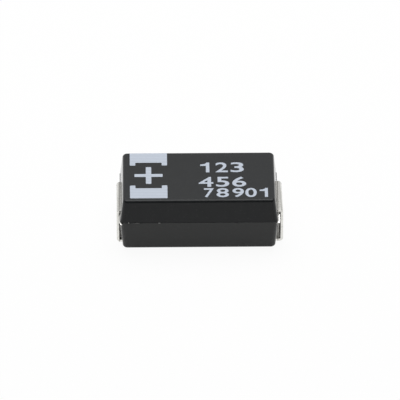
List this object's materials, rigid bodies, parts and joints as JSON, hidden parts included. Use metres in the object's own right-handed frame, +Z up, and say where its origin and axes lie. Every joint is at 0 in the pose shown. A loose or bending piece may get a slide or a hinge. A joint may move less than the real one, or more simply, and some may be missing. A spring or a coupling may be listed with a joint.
{
  "type": "tantalum capacitor",
  "caption": "Moulded black chip tantalum capacitor with folded tin-plated end terminals, polarity mark and an inner anode element.",
  "frame": {"origin": "under the middle of the part, on the plane of the solder pads", "axes": "+X runs along the part from the marked anode end to the cathode end, +Z is up from the board"},
  "size_m": [0.0074, 0.0044, 0.0026],
  "materials": {
    "epoxy": "moulded, fine matt",
    "tin_plate": "matt tin over copper alloy",
    "sintered_tantalum": "sintered, porous",
    "tantalum_wire": "drawn",
    "washer_plastic": "cut sheet",
    "polymer": "dip coated",
    "carbon": "dip coated",
    "silver": "silver paint",
    "adhesive": "cured silver adhesive",
    "marking": "laser marked"
  },
  "bodies": {
    "root": {"moulded_case": "epoxy", "anode_terminal": "tin_plate", "cathode_terminal": "tin_plate", "tantalum_anode": "sintered_tantalum", "anode_wire": "tantalum_wire", "insulating_washer": "washer_plastic", "polymer_cathode": "polymer", "carbon_coat": "carbon", "silver_coat": "silver", "silver_adhesive": "adhesive", "polarity_mark": "marking"}
  },
  "joints": []
}
